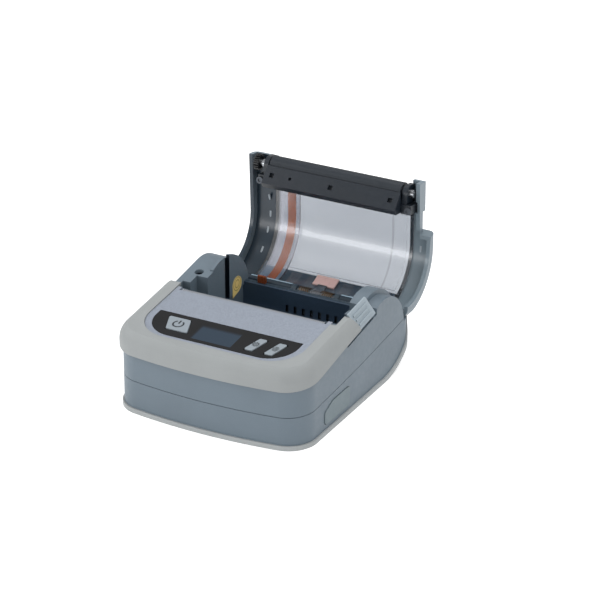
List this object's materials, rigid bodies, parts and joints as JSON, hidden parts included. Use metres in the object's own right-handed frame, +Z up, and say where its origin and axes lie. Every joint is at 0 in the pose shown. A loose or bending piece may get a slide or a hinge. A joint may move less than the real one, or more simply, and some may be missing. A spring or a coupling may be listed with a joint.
{
  "type": "portable label printer",
  "caption": "Portable thermal label printer with a tilted control deck, rubber bumpers, and a hinged lid that carries the roller and opens over the paper bay",
  "frame": {"origin": "middle of the base, on the surface that the printer stands on", "axes": "+Z up, front with the control deck towards -Y, right side with the latch and the port cover towards +X"},
  "size_m": [0.1148, 0.1577, 0.0927],
  "materials": {
    "case_plastic": "satin",
    "bumper_rubber": "matte",
    "panel_silver": "satin",
    "band_black": "gloss",
    "display_glass": "gloss",
    "button_grey": "satin",
    "latch_plastic": "satin",
    "liner_plastic": "satin",
    "lid_plastic": "gloss",
    "clear_plastic": "gloss",
    "roller_rubber": "matte",
    "steel": "satin",
    "black_plastic": "satin",
    "circuit_board": "satin",
    "copper_film": "gloss",
    "spring_steel": "satin",
    "sticker_yellow": "matte",
    "cell_sleeve": "satin"
  },
  "bodies": {
    "base": {"lower_shell": "case_plastic", "upper_shell": "case_plastic", "front_bumper": "bumper_rubber", "bottom_ring": "bumper_rubber", "control_panel": "panel_silver", "panel_window": "band_black", "display_module": "display_glass", "push_switches": "black_plastic", "button_board": "circuit_board", "board_screws": "steel", "tear_bar": "steel", "paper_tub": "liner_plastic", "print_head": "black_plastic", "head_bracket": "steel", "head_springs": "spring_steel", "gear_plate": "steel", "gear_axles": "steel", "stepper_motor": "steel", "battery_door": "case_plastic", "battery_pack": "cell_sleeve", "main_board": "circuit_board", "usb_socket": "steel", "power_socket": "black_plastic", "case_screws": "steel", "latch_spring": "spring_steel", "hinge_pin": "steel", "hinge_springs": "spring_steel", "check_sticker": "sticker_yellow", "ribbon_loop": "copper_film"},
    "lid": {"lid_shell": "lid_plastic", "lid_window": "clear_plastic", "lid_ribbon": "copper_film", "ribbon_cover": "clear_plastic", "lid_pad": "copper_film", "sensor_bar": "black_plastic", "sensor_board": "circuit_board", "roller_cheeks": "black_plastic", "platen_bushes": "steel", "lid_screws": "steel"},
    "platen": {"platen_rubber": "roller_rubber", "platen_shaft": "steel", "platen_gear": "black_plastic"},
    "latch_slider": {"latch": "latch_plastic"},
    "power_key": {"power_button": "button_grey"},
    "settings_key": {"settings_button": "button_grey"},
    "feed_key": {"feed_button": "button_grey"},
    "port_flap": {"port_cover": "bumper_rubber"},
    "idler": {"idler_gear": "black_plastic"},
    "drive": {"drive_gear": "black_plastic"},
    "pinion": {"motor_pinion": "black_plastic", "motor_shaft": "steel"}
  },
  "joints": [
    {"name": "lid_hinge", "type": "hinge", "parent": "base", "child": "lid", "pos_m": [0, 0.0607, 0.0274], "axis": [1, 0, 0], "range_deg": [0, 97]},
    {"name": "platen_spin", "type": "hinge", "parent": "lid", "child": "platen", "pos_m": [0, 0.08549, 0.08652], "axis": [1, 0, 0], "continuous": true},
    {"name": "latch_slide", "type": "slide", "parent": "base", "child": "latch_slider", "axis": [0, 0.433, -0.9014], "range_m": [0, 0.002], "stiffness_N_per_m": 900, "springref_m": -0.0005, "deforming": ["latch_spring"]},
    {"name": "power_press", "type": "slide", "parent": "base", "child": "power_key", "axis": [0, 0.108, -0.9942], "range_m": [0, 0.0004], "stiffness_N_per_m": 1200, "springref_m": -0.0002},
    {"name": "settings_press", "type": "slide", "parent": "base", "child": "settings_key", "axis": [0, 0.108, -0.9942], "range_m": [0, 0.0004], "stiffness_N_per_m": 1200, "springref_m": -0.0002},
    {"name": "feed_press", "type": "slide", "parent": "base", "child": "feed_key", "axis": [0, 0.108, -0.9942], "range_m": [0, 0.0004], "stiffness_N_per_m": 1200, "springref_m": -0.0002},
    {"name": "port_flap_hinge", "type": "hinge", "parent": "base", "child": "port_flap", "pos_m": [0.0559, -0.02095, 0.0054], "axis": [0, 1, 0], "range_deg": [0, 100]},
    {"name": "idler_spin", "type": "hinge", "parent": "base", "child": "idler", "pos_m": [-0.0491, -0.0152, 0.0284], "axis": [1, 0, 0], "continuous": true},
    {"name": "drive_spin", "type": "hinge", "parent": "base", "child": "drive", "pos_m": [-0.0491, -0.0038, 0.03489], "axis": [1, 0, 0], "continuous": true},
    {"name": "pinion_spin", "type": "hinge", "parent": "base", "child": "pinion", "pos_m": [-0.0491, -0.024, 0.0334], "axis": [1, 0, 0], "continuous": true}
  ],
  "couplings": [
    {"joint": "idler_spin", "follows": "pinion_spin", "ratio": -0.42857},
    {"joint": "drive_spin", "follows": "pinion_spin", "ratio": 0.5}
  ]
}
